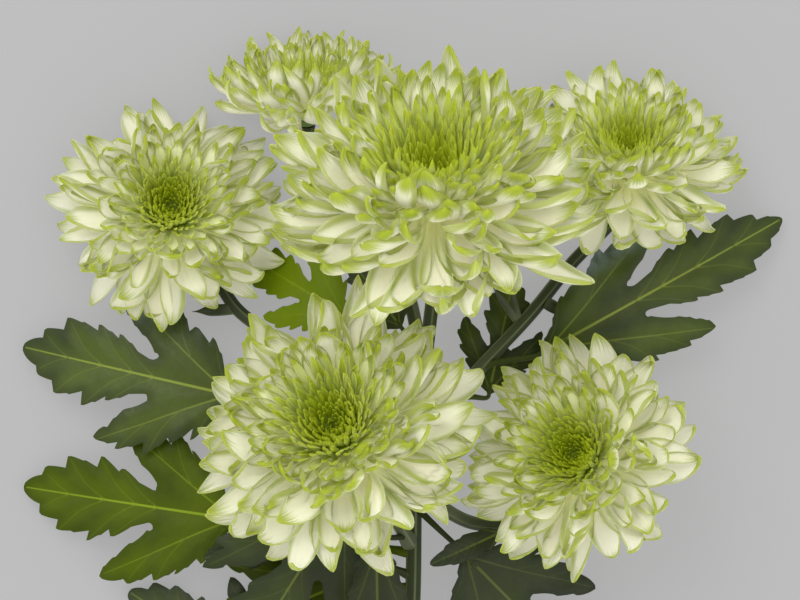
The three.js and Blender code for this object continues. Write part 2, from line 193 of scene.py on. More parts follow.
class Shells:
    """Closed thin shells gathered into one mesh. Each is a grid, and its two faces share their rim."""

    def __init__(self, along, across):
        self.along = np.array(along)
        self.across = np.array(across)
        self.rows = rows = len(along)
        self.columns = columns = len(across)
        grid = np.arange(rows * columns).reshape(rows, columns)
        under = grid.copy()
        inner = rows * columns + np.arange((rows - 2) * (columns - 2))
        under[1:-1, 1:-1] = inner.reshape(rows - 2, columns - 2)
        self.inner = grid[1:-1, 1:-1].ravel()
        upper_faces = [grid[:-1, :-1], grid[:-1, 1:], grid[1:, 1:], grid[1:, :-1]]
        under_faces = [under[:-1, :-1], under[1:, :-1], under[1:, 1:], under[:-1, 1:]]
        quads = np.concatenate([
            np.stack([f.ravel() for f in upper_faces], axis=1),
            np.stack([f.ravel() for f in under_faces], axis=1),
        ])
        corners = np.isin(quads, grid[[0, 0, -1, -1], [0, -1, 0, -1]])
        self.quads = quads[~corners.any(1)]
        # At a corner the two faces meet in three points, so the quads there are split through the fourth
        turned = [np.roll(quad, -int(np.argmax(at))) for quad, at in zip(quads, corners) if at.any()]
        self.triangles = np.array([quad[half] for quad in turned for half in ([0, 1, 2], [0, 2, 3])])
        self.size = rows * columns + len(self.inner)

    def build(self, upper, lower, layers):
        """Joins shells to points, faces and values. upper and lower are the points of their faces, shaped
        (shells, rows, columns, 3), and layers hold values shaped (shells, rows, columns)."""
        count = upper.shape[0]
        flat = lambda a: a.reshape(count, self.rows * self.columns, *a.shape[3:])
        points = np.concatenate([flat(upper), flat(lower)[:, self.inner]], axis=1).reshape(-1, 3)
        offsets = (np.arange(count) * self.size)[:, None, None]
        faces = [
            *(self.quads[None] + offsets).reshape(-1, 4),
            *(self.triangles[None] + offsets).reshape(-1, 3),
        ]
        values = {}
        for name, value in layers.items():
            value = flat(np.broadcast_to(value, upper.shape[:3]))
            values[name] = np.concatenate([value, value[:, self.inner]], axis=1).ravel()
        sides = np.zeros((count, self.size))
        sides[:, self.rows * self.columns:] = 1
        values["underside"] = sides.ravel()
        return points, faces, values


# Flower heads

# Where a floret's grid has its rows and columns: a broad one, and a slim one of the eye or the bracts
BROAD = Shells([0, 0.13, 0.27, 0.4, 0.52, 0.63, 0.73, 0.81, 0.88, 0.93, 0.97, 1.0],
               [-1, -0.9, -0.74, -0.4, 0, 0.4, 0.74, 0.9, 1.0])
SLIM = Shells([0, 0.25, 0.48, 0.67, 0.82, 0.93, 1.0], [-1, -0.6, 0, 0.6, 1.0])

EYE_START = 0.88  # a head's florets run from 0 at its outside to here, where its eye starts
EYE_FLORETS = 240
BRACTS = 34
LEAST_WIDTH = 0.03  # of a floret at its ends, as a share of its greatest width

# Radius and height of the bodies that the florets grow from, as shares of the head's radius
CORE = [(0.05, 0), (0.25, 0), (0.29, 0.06), (0.275, 0.15), (0.25, 0.24), (0.235, 0.24), (0.235, 0.12),
        (0.05, 0.11)]
EYE_DOME = [(0.02, 0.12), (0.23, 0.16), (0.23, 0.25), (0.14, 0.2), (0.02, 0.15)]
CORE_SIDES = 24
CUP_SIDES = 32


def floret_profile(s, point):
    """Half width along a floret, 1 at its widest: slim at the root, and blunt or drawn to a point."""
    widening = mix(0.3, 1, smooth(0.02, 0.6, s))
    start = mix(0.66, 0.5, point)
    narrowing = (np.clip(s - start, 0, 1) / (1.005 - start)) ** mix(2.3, 1.9, point)
    return widening * np.clip(1 - narrowing, 0, 1) ** mix(0.7, 0.82, point)


def floret_lines(along, forms):
    """Each floret's middle line, and its directions to the side and up from its face, at every row."""
    each = lambda name: forms[name][:, None]
    slope = each("angle") + each("curl") * along + each("hook") * smooth(0.55, 1, along)
    slope = slope + each("beak") * smooth(0.84, 1.02, along)
    middles = 0.5 * (slope[:, 1:] + slope[:, :-1])
    reach = each("root_radius") + running(np.cos(middles) * np.diff(along), 1) * each("length")
    height = each("root_height") + running(np.sin(middles) * np.diff(along), 1) * each("length")
    azimuth = each("azimuth")
    zero = np.zeros_like(azimuth)
    out = np.stack([np.cos(azimuth), np.sin(azimuth), zero], -1)
    side = np.stack([-np.sin(azimuth), np.cos(azimuth), zero], -1)
    axis = np.array([0, 0, 1.0])
    sway = (each("sway") * each("length") * along ** 2)[..., None]
    middle = out * reach[..., None] + axis * height[..., None] + side * sway
    up = -out * np.sin(slope)[..., None] + axis * np.cos(slope)[..., None]
    twist = (each("twist") * along)[..., None]
    return middle, side * np.cos(twist) + up * np.sin(twist), up * np.cos(twist) - side * np.sin(twist)


def floret_sections(along, across, forms):
    """How far each point of a floret's grid lies to the side of its middle line, and above it."""
    s = along[None, :, None]
    c = across[None, None, :]
    column = lambda name: forms[name][:, None, None]
    half = column("half") * np.maximum(floret_profile(s, column("point")), LEAST_WIDTH)
    roll = column("roll") * mix(0.8, 1.5, smooth(0.6, 1.05, s))
    edge = 1.1 * smooth(0.6, 1, np.abs(c)) * smooth(0.1, 0.5, s)
    turn = roll * c + edge * np.sign(c)
    between = 0.5 * (turn[:, :, 1:] + turn[:, :, :-1])
    aside = running(np.cos(between) * np.diff(across), 2)
    lift = running(np.sin(between) * np.diff(across), 2)
    centre = [len(across) // 2]
    rim_wave = column("half") * 0.06 * np.sin(9 * s + 40 * column("tone") + 2 * c) * c * c
    return half * (aside - aside[:, :, centre]), half * (lift - lift[:, :, centre]) + rim_wave


def florets_mesh(shells, forms):
    """Cupped florets in a head's own frame, as points, faces and values. forms has values for each floret:
    azimuth, root_radius and root_height: where it grows, length, half (width), thickness and point(edness),
    angle: its rise at the root, curl, hook and beak: bends along it, near its tip and at its very tip,
    roll: how far its sides fold up, twist: its turn about itself, sway: its bend to one side,
    age: 0 for the outermost floret to 1 for the eye's middle, tone: a random number for the material."""
    middle, side, up = floret_lines(shells.along, forms)
    aside, lift = floret_sections(shells.along, shells.across, forms)
    s = shells.along[None, :, None]
    c = shells.across[None, None, :]
    column = lambda name: forms[name][:, None, None]
    upper = middle[:, :, None] + side[:, :, None] * aside[..., None] + up[:, :, None] * lift[..., None]
    body = column("thickness") * (1 - 0.75 * c * c) * mix(1, 0.5, s)
    lower = upper - up[:, :, None] * body[..., None]
    layers = dict(along=s, across=np.abs(c), age=column("age"), tone=column("tone"))
    return shells.build(upper, lower, layers)


def floret_forms(head, rng):
    """Forms of a head's ray florets, from the long loose outer ones to the short upright inner ones."""
    R = head["radius"]
    count = head["florets"]
    order = np.arange(count)
    t = EYE_START * ((order + 0.5) / count) ** 0.95
    draw = lambda low, high: rng.uniform(low, high, count)
    outer = smooth(0.35, 0.0, t)
    middle = smooth(0.15, 0.4, t) * smooth(0.78, 0.5, t)
    young = smooth(0.45, 0.75, t)
    loose = (mix(1, 0.6, t) + 0.7 * middle) * mix(1, 0.4, young)
    return dict(
        root_radius=R * mix(0.25, 0.24, t),
        root_height=R * mix(0.05, 0.27, t),
        length=R * mix(0.93, 0.31, (t / EYE_START) ** 1.3) * draw(0.84, 1.07),
        half=R * head.get("slim", 1) * mix(0.17, 0.026, (t / EYE_START) ** 2) * draw(0.82, 1.15),
        point=draw(0, 0.5) * mix(1, 0.6, middle) + 0.3 * outer,
        angle=np.radians(mix(-head["droop"], 68, t ** 0.88) + draw(-14, 14) * loose),
        curl=np.radians((draw(14, 40) + 20 * middle) * mix(1, 0.6, young)),
        hook=np.radians(draw(10, 75) * mix(0.25, 1, outer) * mix(1, 0.5, young)),
        beak=np.radians(draw(10, 90) * np.maximum(outer, 0.6 * middle)),
        roll=mix(0.76, 1.0, t ** 0.9) * mix(draw(0.6, 1.3), draw(0.95, 1.2), young),
        twist=np.radians(draw(-50, 50) * loose),
        sway=draw(-0.28, 0.28) * mix(1, 0.25, young),
        azimuth=order * GOLDEN + np.radians(draw(-15, 15) * loose),
        thickness=R * mix(0.014, 0.01, t),
        age=t + head.get("young", 0) * (1 - t),
        tone=draw(0, 1),
    )


def eye_forms(head, rng):
    """Forms of the eye's small florets. They start at its middle, and share is their place from there."""
    R = head["radius"]
    order = np.arange(EYE_FLORETS)
    share = np.sqrt((order + 0.5) / EYE_FLORETS)
    draw = lambda low, high: rng.uniform(low, high, EYE_FLORETS)
    return dict(
        root_radius=R * mix(0, 0.23, share),
        root_height=R * mix(0.13, 0.25, share),
        length=R * mix(0.05, 0.3, share ** 1.2) * draw(0.82, 1.18),
        half=R * mix(0.018, 0.029, share) * draw(0.85, 1.15),
        point=np.full(EYE_FLORETS, 0.3),
        angle=np.radians(mix(86, 58, share) + draw(-7, 7)),
        curl=np.radians(draw(5, 30)),
        hook=np.radians(draw(0, 15)),
        beak=np.radians(draw(0, 20)),
        roll=draw(0.85, 1.2),
        twist=np.radians(draw(-20, 20)),
        sway=draw(-0.1, 0.1),
        azimuth=order * GOLDEN,
        thickness=R * np.full(EYE_FLORETS, 0.01),
        age=mix(1.0, 0.8, share ** 0.8),
        tone=draw(0, 1),
    )


def bract_forms(head, rng):
    """Forms of the bracts that overlap on a head's cup, from its rim down to the stalk."""
    R = head["radius"]
    height = CUP_HEIGHT * R
    order = np.arange(BRACTS)
    t = order / (BRACTS - 1)
    draw = lambda low, high: rng.uniform(low, high, BRACTS)
    return dict(
        root_radius=R * mix(0.2, 0.075, t),
        root_height=mix(-0.45, -0.95, t) * height,
        length=R * mix(0.13, 0.12, t) * draw(0.9, 1.1),
        half=R * 0.042 * draw(0.9, 1.1),
        point=np.full(BRACTS, 0.5),
        angle=np.radians(mix(58, 22, t)),
        curl=np.radians(mix(10, 50, t)),
        hook=np.radians(draw(-25, -5)),
        beak=np.zeros(BRACTS),
        roll=0.8 * draw(0.8, 1.2),
        twist=np.radians(draw(-6, 6)),
        sway=draw(-0.03, 0.03),
        azimuth=order * GOLDEN,
        thickness=R * np.full(BRACTS, 0.014),
        age=np.zeros(BRACTS),
        tone=draw(0, 1),
    )


def cup_profile(R):
    """Radius and height of a cup's outline, from the stalk up to just below the head's base."""
    height = CUP_HEIGHT * R
    return [
        (0.03 * R, -height), (0.075 * R, -height), (0.12 * R, -0.85 * height), (0.18 * R, -0.6 * height),
        (0.23 * R, -0.3 * height), (0.25 * R, -GAP), (0.05 * R, -GAP),
    ]


def turned_part(profile, sides, along, across, age):
    """A turned body with the same values all over for the material that it shares with the florets."""
    points, faces = lathe(profile, sides)
    return points, faces, dict(along=along, across=across, age=age, tone=0.5, underside=0)


def place_points(points, head):
    """Points of a head's own frame in the laid-out spray. What would sink into the table lies on it."""
    facing = Vector(head["faces"]).normalized()
    turn = np.array(Vector((0, 0, 1)).rotation_difference(facing).to_matrix())
    points = np.array(head["seat"], float) + points @ turn.T
    points[:, 2] = PRESSED * np.logaddexp(0, points[:, 2] / PRESSED)
    return points


def make_head(name, head, rng):
    """A head's three pieces: its ray florets on their core, its eye on a dome and its cup of bracts."""
    R = head["radius"]
    # The core's values colour it dark green, as painted shade where it shows between the florets' roots
    core = turned_part(np.array(CORE) * R, CORE_SIDES, along=0.2, across=0.2, age=0.78)
    dome = turned_part(np.array(EYE_DOME) * R, CORE_SIDES, along=0, across=0.3, age=1)
    cup = turned_part(cup_profile(R), CUP_SIDES, along=0.3, across=0.3, age=0)
    for kind, shells, forms, body, material, slot, solid in (
        ("florets", BROAD, floret_forms, core, petal_material, "petal", "ray_florets"),
        ("young_florets", SLIM, eye_forms, dome, eye_material, "eye", "eye"),
        ("bracts", SLIM, bract_forms, cup, bract_material, "bract", "bract_cup"),
    ):
        points, faces, values = joined([florets_mesh(shells, forms(head, rng)), body])
        points = place_points(points, head)
        make_piece(f"{kind}_{name}", points, faces, material, values, [f"{solid}_{name}"])


# Stems

SPLINE_STEPS = 24  # between two points of a route
STEM_POINTS = 140
BRANCH_POINTS = 90
STEM_SIDES = 30
RIBS = 5
RIB_HEIGHT = 0.13  # as a share of the stem's radius
SCALE_LEAF_POINTS = 14
SCALE_LEAF_SIDES = 12
SCALE_LEAF_FLATNESS = 0.4


def spline(route, count):
    """Evenly spaced points on a centripetal Catmull-Rom curve through the route."""
    points = [np.asarray(p, float) for p in route]
    points = [2 * points[0] - points[1], *points, 2 * points[-1] - points[-2]]
    fine = []
    for k in range(1, len(points) - 2):
        p0, p1, p2, p3 = points[k - 1:k + 3]
        d0, d1, d2 = (max(np.linalg.norm(b - a) ** 0.5, 1e-4) for a, b in ((p0, p1), (p1, p2), (p2, p3)))
        m1 = ((p1 - p0) / d0 - (p2 - p0) / (d0 + d1) + (p2 - p1) / d1) * d1
        m2 = ((p2 - p1) / d1 - (p3 - p1) / (d1 + d2) + (p3 - p2) / d2) * d1
        for t in np.linspace(0, 1, SPLINE_STEPS, endpoint=False):
            fine.append(p1 * (2 * t ** 3 - 3 * t ** 2 + 1) + m1 * (t ** 3 - 2 * t ** 2 + t)
                        + p2 * (-2 * t ** 3 + 3 * t ** 2) + m2 * (t ** 3 - t ** 2))
    fine.append(points[-2])
    fine = np.array(fine)
    lengths = np.concatenate([[0], np.cumsum(np.linalg.norm(np.diff(fine, axis=0), axis=1))])
    wanted = np.linspace(0, lengths[-1], count)
    return np.stack([np.interp(wanted, lengths, fine[:, i]) for i in range(3)], 1)


def swept(path, radius, sides, ridge=0.0, flat=1.0):
    """A closed tube along a path, with low ribs along it. radius gives one value for each point."""
    count = len(path)
    tangents = np.gradient(path, axis=0)
    tangents /= np.linalg.norm(tangents, axis=1)[:, None]
    up = unit(np.cross(np.cross(tangents[0], [0, 0, 1.0]), tangents[0]))
    angles = 2 * np.pi * np.arange(sides) / sides
    rib = np.abs(np.cos(RIBS * angles / 2)) ** 6
    shape = 1 + ridge * (rib - 0.3)
    rings = []
    for middle, tangent, size in zip(path, tangents, radius):
        up = unit(up - np.dot(up, tangent) * tangent)
        right = np.cross(tangent, up)
        r = size * shape
        aside = (r * np.cos(angles))[:, None] * right
        above = (flat * r * np.sin(angles))[:, None] * up
        rings.append(middle + aside + above)
    values = dict(rib=np.tile(rib, count), run=np.repeat(np.linspace(0, 1, count), sides))
    return np.concatenate(rings), ring_faces(count, sides), values


def route_to(head, route):
    """The route with a head's stalk at its end, which meets the cup in line with the head."""
    facing = unit(head["faces"])
    back = lambda distance: np.array(head["seat"], float) - facing * distance
    R = head["radius"]
    return [*route, back(STALK_LENGTH * R), back(CUP_HEIGHT * R + GAP)]


def make_stems():
    """The stem, its branches with swollen roots, and the scale leaves, as one piece."""
    parts = []
    routes = [("centre", STEM_ROUTE, STEM["cut"], STEM_POINTS)]
    routes += [(name, route, STEM["branch"], BRANCH_POINTS) for name, route in BRANCHES.items()]
    for name, route, thick, count in routes:
        path = spline(route_to(HEADS[name], route), count)
        u = np.linspace(0, 1, count)
        radius = mix(thick, STEM["stalk"], u)
        if name != "centre":
            radius = radius * (1 + 0.35 * smooth(0.16, 0.02, u)) * mix(0.45, 1, smooth(0, 0.05, u))
        radius = radius * (1 + 0.25 * smooth(0.96, 1, u))
        parts.append(swept(path, radius, STEM_SIDES, ridge=RIB_HEIGHT))
    for start, tip, half in SCALE_LEAVES:
        halfway = mix(np.array(start, float), np.array(tip, float), 0.5)
        path = spline([start, halfway, tip], SCALE_LEAF_POINTS)
        u = np.linspace(0, 1, SCALE_LEAF_POINTS)
        belly = np.sqrt(np.clip(1 - (u * 2 - 0.8) ** 2 / 1.6, 0.02, 1))
        radius = half * belly * (1 - 0.9 * smooth(0.6, 1, u))
        parts.append(swept(path, radius, SCALE_LEAF_SIDES, flat=SCALE_LEAF_FLATNESS))
    points, faces, values = joined(parts)
    points[:, 2] = np.maximum(points[:, 2], 0)
    make_piece("stems", points, faces, stem_material, values, ["stem"])


# Leaves

# One side of a leaf's edge from base to tip: along and across as shares of the length, and how far the
# edge from the point before swells outwards. Notches and teeth take turns.
EDGE = [
    (0.035, 0.02, 0.0), (0.09, 0.1, 0.004), (0.165, 0.225, 0.006), (0.178, 0.192, 0.0),
    (0.265, 0.262, 0.003), (0.272, 0.242, 0.0), (0.36, 0.335, 0.004), (0.367, 0.298, 0.0),
    (0.48, 0.345, 0.004), (0.487, 0.326, 0.0), (0.6, 0.33, 0.012), (0.54, 0.25, 0.01),
    (0.47, 0.165, 0.004), (0.412, 0.112, -0.004), (0.393, 0.09, -0.006), (0.418, 0.076, -0.008),
    (0.48, 0.098, 0.0), (0.572, 0.152, 0.004), (0.58, 0.134, 0.0), (0.672, 0.18, 0.003),
    (0.682, 0.138, 0.0), (0.818, 0.166, 0.006), (0.828, 0.118, 0.0), (0.915, 0.098, 0.004),
    (0.917, 0.064, 0.0), (1.0, 0.0, 0.012),
]
LANCE_EDGE = [
    (0.05, 0.03, 0.0), (0.3, 0.13, 0.02), (0.306, 0.118, 0.0), (0.55, 0.145, 0.012),
    (0.556, 0.132, 0.0), (0.78, 0.1, 0.012), (0.784, 0.09, 0.0), (1.0, 0.0, 0.016),
]
LOOSE_ALONG = 0.009  # how far a point of the edge is off its place, as a share of the leaf's length
LOOSE_ACROSS = 0.07  # the same across, as a share of how far out it lies
FINE_TOOTH = 0.55  # height of the small teeth between the large ones, in millimetres
FINE_TEETH_APART = 4.2
# Veins of one side: points from the midrib outwards, and the width at the start in millimetres
VEINS = [
    ([(0.03, 0), (0.1, 0.08), (0.155, 0.2)], 0.3),
    ([(0.045, 0), (0.2, 0.09), (0.4, 0.215), (0.58, 0.322)], 0.5),
    ([(0.24, 0.112), (0.3, 0.2), (0.345, 0.315)], 0.28),
    ([(0.38, 0.203), (0.43, 0.27), (0.468, 0.33)], 0.22),
    ([(0.38, 0), (0.46, 0.05), (0.56, 0.145)], 0.24),
    ([(0.48, 0), (0.57, 0.065), (0.66, 0.17)], 0.28),
    ([(0.62, 0), (0.72, 0.06), (0.805, 0.155)], 0.28),
    ([(0.78, 0), (0.84, 0.03), (0.9, 0.075)], 0.2),
]
MIDRIB_WIDTH = 0.8
MIDRIB_END = 0.985  # of the leaf's length
MIDRIB_POINTS = 30
VEIN_POINTS = 24
FULL_LENGTH = 75  # a shorter leaf has slimmer veins and a finer grid
LEAF_GRID = 1.15  # between the points of a blade's grid
GRID_LOOSE = 0.12  # how far a grid point is off its place, in steps of the grid
GRID_CLEAR = 0.55  # how far the grid keeps from the rim and the veins, in steps of the grid
FORK_GAP = (0.5, 2.2)  # veins this far apart get points of the blade between them
SPLITS = 3  # rounds of triangulating a blade, each of which splits what spans its rim
ON_RIM = 1e-3  # a point that is nearer to the rim lies on it
FAR = 1e9  # farther than any point
WAVE_HEIGHT = 0.014  # of a blade's loose edges, as a share of the leaf's length
QUILT_HEIGHT = 0.4  # how far a blade bulges between its veins
THICK_RIM = 0.22  # thickness near the rim, and what is added to it farther in and under a vein
THICK_INNER = 0.12
THICK_VEIN = 0.75
FACE_RISE = 0.12  # of the upper face over a blade's middle surface. A vein is sunk into it as far.
LOWEST = 0.02  # height of the lowest leaf over the table
STALK_RADII = (1.25, 0.6)  # of a leaf's stalk, at its root and under the blade
STALK_POINTS = 40
STALK_SIDES = 16


def edge_points(rng, edge, sign, length):
    """The finely stepped edge of one side, as shares of the length, with its own small irregularities."""
    knots = [np.array([0.0, 0.0])]
    swells = []
    for u, v, swell in edge:
        loose = 0 if u == 1.0 else 1
        knots.append(np.array([
            u + loose * rng.uniform(-LOOSE_ALONG, LOOSE_ALONG),
            v * (1 + loose * rng.uniform(-LOOSE_ACROSS, LOOSE_ACROSS)),
        ]))
        swells.append(swell)
    points = []
    for a, b, swell in zip(knots[:-1], knots[1:], swells):
        ab = b - a
        normal = np.array([-ab[1], ab[0]])
        normal = normal / max(np.linalg.norm(normal), 1e-9)
        run = np.linalg.norm(ab) * length
        steps = max(2, int(run / LEAF_GRID) + 1)
        teeth = int(run / FINE_TEETH_APART) if swell > 0 else 0
        for t in np.linspace(0, 1, steps, endpoint=False):
            tooth = FINE_TOOTH / length * (t * teeth % 1) ** 1.5 * smooth(0, 0.15, 1 - t)
            points.append(a + ab * t + normal * (swell * 4 * t * (1 - t) + tooth))
    points.append(knots[-1])
    return [(float(u), float(sign * v)) for u, v in points]


def inside(points, outline):
    """Which points lie inside a closed outline."""
    x, y = points[:, 0], points[:, 1]
    result = np.zeros(len(points), bool)
    for (x0, y0), (x1, y1) in zip(outline, np.roll(outline, -1, 0)):
        if y0 != y1:
            result ^= ((y0 > y) != (y1 > y)) & (x < (x1 - x0) * (y - y0) / (y1 - y0) + x0)
    return result


def distances(points, line):
    """Distance of each point from a polyline, and how far along the polyline that is, from 0 to 1."""
    best = np.full(len(points), FAR)
    where = np.zeros(len(points))
    total = len(line) - 1
    for k in range(total):
        a = line[k]
        ab = line[k + 1] - a
        t = np.clip(((points - a) @ ab) / max(ab @ ab, 1e-12), 0, 1)
        d = np.linalg.norm(points - a - t[:, None] * ab, axis=1)
        closer = d < best
        best[closer] = d[closer]
        where[closer] = (k + t[closer]) / total
    return best, where


def rim_distance(points, outline):
    return distances(points, np.vstack([outline, outline[:1]]))[0]


def leaf_veins(length, size):
    """Vein lines in millimetres on the flat blade, with their widths at the start."""
    midrib = np.array([(u, 0.0) for u in np.linspace(0, MIDRIB_END, MIDRIB_POINTS)])
    lines = [(midrib, MIDRIB_WIDTH)]
    for sign in (1, -1):
        for line, thick in VEINS:
            path = spline([(u, v, 0) for u, v in line], VEIN_POINTS)[:, :2]
            lines.append((path * (1, sign), thick))
    grow = mix(0.75, 1, min(length / FULL_LENGTH, 1))
    return [(line * size, thick * grow) for line, thick in lines]


def between_veins(veins):
    """Points halfway between veins that run close together, so that the blade shows in their fork."""
    points = []
    for line, _ in veins[1:]:
        for other, _ in veins:
            if other is line:
                continue
            apart, where = distances(line, other)
            place = where * (len(other) - 1)
            foot = np.stack([np.interp(place, np.arange(len(other)), other[:, i]) for i in (0, 1)], 1)
            near = (apart > FORK_GAP[0]) & (apart < FORK_GAP[1])
            points.append((0.5 * (line + foot))[near])
    return np.concatenate(points)


def blade_grid(rng, outline, veins, step):
    """Points spread over the flat blade, clear of its rim and veins, and some in the veins' forks."""
    low, high = outline.min(0), outline.max(0)
    xs = np.arange(low[0], high[0], step)
    ys = np.arange(low[1], high[1], step * 0.866)
    grid = np.array([(x + (j % 2) * step / 2, y) for j, y in enumerate(ys) for x in xs])
    grid = grid + rng.uniform(-GRID_LOOSE, GRID_LOOSE, grid.shape) * step
    keep = inside(grid, outline) & (rim_distance(grid, outline) > GRID_CLEAR * step)
    for line, _ in veins:
        keep &= distances(grid, line)[0] > GRID_CLEAR * step
    forks = between_veins(veins)
    return np.concatenate([grid[keep], forks[inside(forks, outline)]])


def blade_triangles(outline, veins, grid):
    """The flat blade's points, its triangles, with edges along the veins, and the points' rim distances."""
    points = [Vector(p) for p in outline]
    edges = []
    for line, _ in veins:
        fitting = line[inside(line, outline)]
        start = len(points)
        points += [Vector(p) for p in fitting]
        edges += [(start + k, start + k + 1) for k in range(len(fitting) - 1)]
    points += [Vector(p) for p in grid]
    rim_face = [list(range(len(outline)))]
    for _ in range(SPLITS):
        flat, _, triangles, *_ = geometry.delaunay_2d_cdt(points, edges, rim_face, 1, 1e-4)
        flat = np.array([tuple(p) for p in flat])
        triangles = np.array([tuple(t) for t in triangles])
        rim_gap = rim_distance(flat, outline)
        rim = rim_gap < ON_RIM
        # A triangle or an inner edge that joins only points of the rim has no room between its two faces
        ears = triangles[rim[triangles].all(1)]
        points += [Vector(p) for p in flat[ears].mean(1)]
        sides = np.concatenate([triangles[:, [0, 1]], triangles[:, [1, 2]], triangles[:, [2, 0]]])
        sides, uses = np.unique(np.sort(sides, 1), axis=0, return_counts=True)
        chords = sides[(uses > 1) & rim[sides].all(1)]
        points += [Vector(p) for p in flat[chords].mean(1)]
    triangles = triangles[~rim[triangles].all(1)]
    a, b, c = (flat[triangles[:, k]] for k in range(3))
    turn = (b[:, 0] - a[:, 0]) * (c[:, 1] - a[:, 1]) - (b[:, 1] - a[:, 1]) * (c[:, 0] - a[:, 0])
    return flat, np.where(turn[:, None] > 0, triangles, triangles[:, ::-1]), rim_gap


def vein_values(flat, veins):
    """Each point's share in a vein's body, its gap to the nearest vein and that vein's strength."""
    body = np.zeros(len(flat))
    strength = np.zeros(len(flat))
    nearest = np.full(len(flat), FAR)
    for line, thick in veins:
        d, where = distances(flat, line)
        here = thick * mix(1, 0.3, where)
        high = (1 - smooth(0.3 * here, 1.6 * here, d)) * min(1, thick / 0.5) * mix(1, 0.5, where)
        body = np.maximum(body, high)
        gap = d - 0.5 * here
        strong = min(1, thick / MIDRIB_WIDTH) * mix(1, 0.6, where)
        strength = np.where(gap < nearest, strong, strength)
        nearest = np.minimum(nearest, gap)
    return body, nearest, strength


def painted_reflection_mask(leaf, u, v):
    """Painted grey reflection on an edge turned to the light: where along the leaf, on which side, how
    long.
    """
    if "painted_reflection" not in leaf:
        return np.zeros(len(u))
    place, side, spread = leaf["painted_reflection"]
    return np.exp(-((u - place) / spread) ** 2) * smooth(0.18, 0.34, side * v)


def leaf_stalk(leaf, base, along, up, length):
    """A leaf's stalk from its root to under the blade, with values for the leaf's material."""
    rise = leaf["arch"] * length
    halfway = mix(np.array(leaf["root"], float), base, 0.5) + 1.1 * up
    run = [base + up * (rise * 4 * t * (1 - t) - 0.35) + along * t * length for t in (0.0, 0.06, 0.12)]
    path = spline([leaf["root"], halfway, *run], STALK_POINTS)
    t = np.linspace(0, 1, STALK_POINTS)
    radius = mix(*STALK_RADII, t) * (1 + 0.5 * smooth(0.15, 0, t))
    points, faces, _ = swept(path, radius, STALK_SIDES, flat=0.85)
    return points, faces, dict(vein_gap=0.2, strength=0.8, edge_gap=8, underside=0, painted_reflection=0)


def make_leaf(name, leaf, rng):
    """A folded, waved and veined blade on its stalk, in one piece. Its two faces share their rim."""
    base = np.array(leaf["base"], float)
    tip = np.array(leaf["tip"], float)
    length = float(np.linalg.norm(tip - base))
    size = np.array([length, length * leaf["width"]])
    along = unit(tip - base)
    side = unit(np.cross([0, 0, 1.0], along))
    up = np.cross(along, side)

    edge = LANCE_EDGE if leaf["lance"] else EDGE
    right = edge_points(rng, edge, 1, length)
    left = edge_points(rng, edge, -1, length)
    outline = np.array(right[:-1] + left[::-1][:-1]) * size
    veins = leaf_veins(length, size)
    step = LEAF_GRID * mix(0.7, 1, min(length / FULL_LENGTH, 1))
    grid = blade_grid(rng, outline, veins, step)
    flat, triangles, rim_gap = blade_triangles(outline, veins, grid)
    body, nearest, strength = vein_values(flat, veins)

    inner = rim_gap >= ON_RIM
    u, v = (flat / size).T
    fold = np.sqrt(v * v + 0.0004) - 0.02  # the distance from the midrib, with a soft turn there
    lift = (4 * u * (1 - u) + 2 * fold - 8 * v * v) * leaf["arch"] * length
    swing = np.sin(23 * u + 40 * leaf["seed"] + 3 * np.sign(v))
    wave = WAVE_HEIGHT * length * smooth(0.1, 0.35, np.abs(v)) * swing
    quilt = QUILT_HEIGHT * smooth(0, 5, nearest) * smooth(0, 3, rim_gap)
    rise = lift + quilt + (wave if leaf["arch"] else 0)
    middle = base + u[:, None] * length * along + flat[:, 1:2] * side + rise[:, None] * up
    inner_share = THICK_INNER * smooth(0, 2, rim_gap)
    vein_share = THICK_VEIN * body * mix(1, 0.35, u)
    thickness = (THICK_RIM + inner_share + vein_share) * inner
    upper = middle + (FACE_RISE * inner - FACE_RISE * body)[:, None] * up
    lower = middle - thickness[:, None] * up

    under = np.arange(len(flat))
    under[inner] = len(flat) + np.arange(np.count_nonzero(inner))
    faces = [*triangles, *under[triangles][:, ::-1]]
    both = lambda top, bottom: np.concatenate([top, bottom[inner]])
    painted_reflection = painted_reflection_mask(leaf, u, v)
    values = dict(
        vein_gap=both(nearest, nearest),
        strength=both(strength, strength),
        edge_gap=both(rim_gap, rim_gap),
        underside=both(np.zeros(len(flat)), np.ones(len(flat))),
        painted_reflection=both(painted_reflection, painted_reflection),
    )
    blade = (both(upper, lower), faces, values)
    points, faces, values = joined([blade, leaf_stalk(leaf, base, along, up, length)])
    values["shade"] = np.full(len(points), leaf["shade"])
    values["light"] = np.full(len(points), leaf["light"])
    points[:, 2] = np.maximum(points[:, 2], LOWEST)
    slot = "leaf_bright" if leaf["bright"] else "leaf_dark"
    make_piece(f"blade_{name}", points, faces, leaf_materials[slot], values, [name])


# Materials

def linear(red, green, blue):
    """A colour given as 0 to 255 in display values, as linear light."""
    def one(c):
        c = c / 255
        return c / 12.92 if c <= 0.04045 else ((c + 0.055) / 1.055) ** 2.4
    return (one(red), one(green), one(blue), 1)


NOISE_ROUGHNESS = 0.55


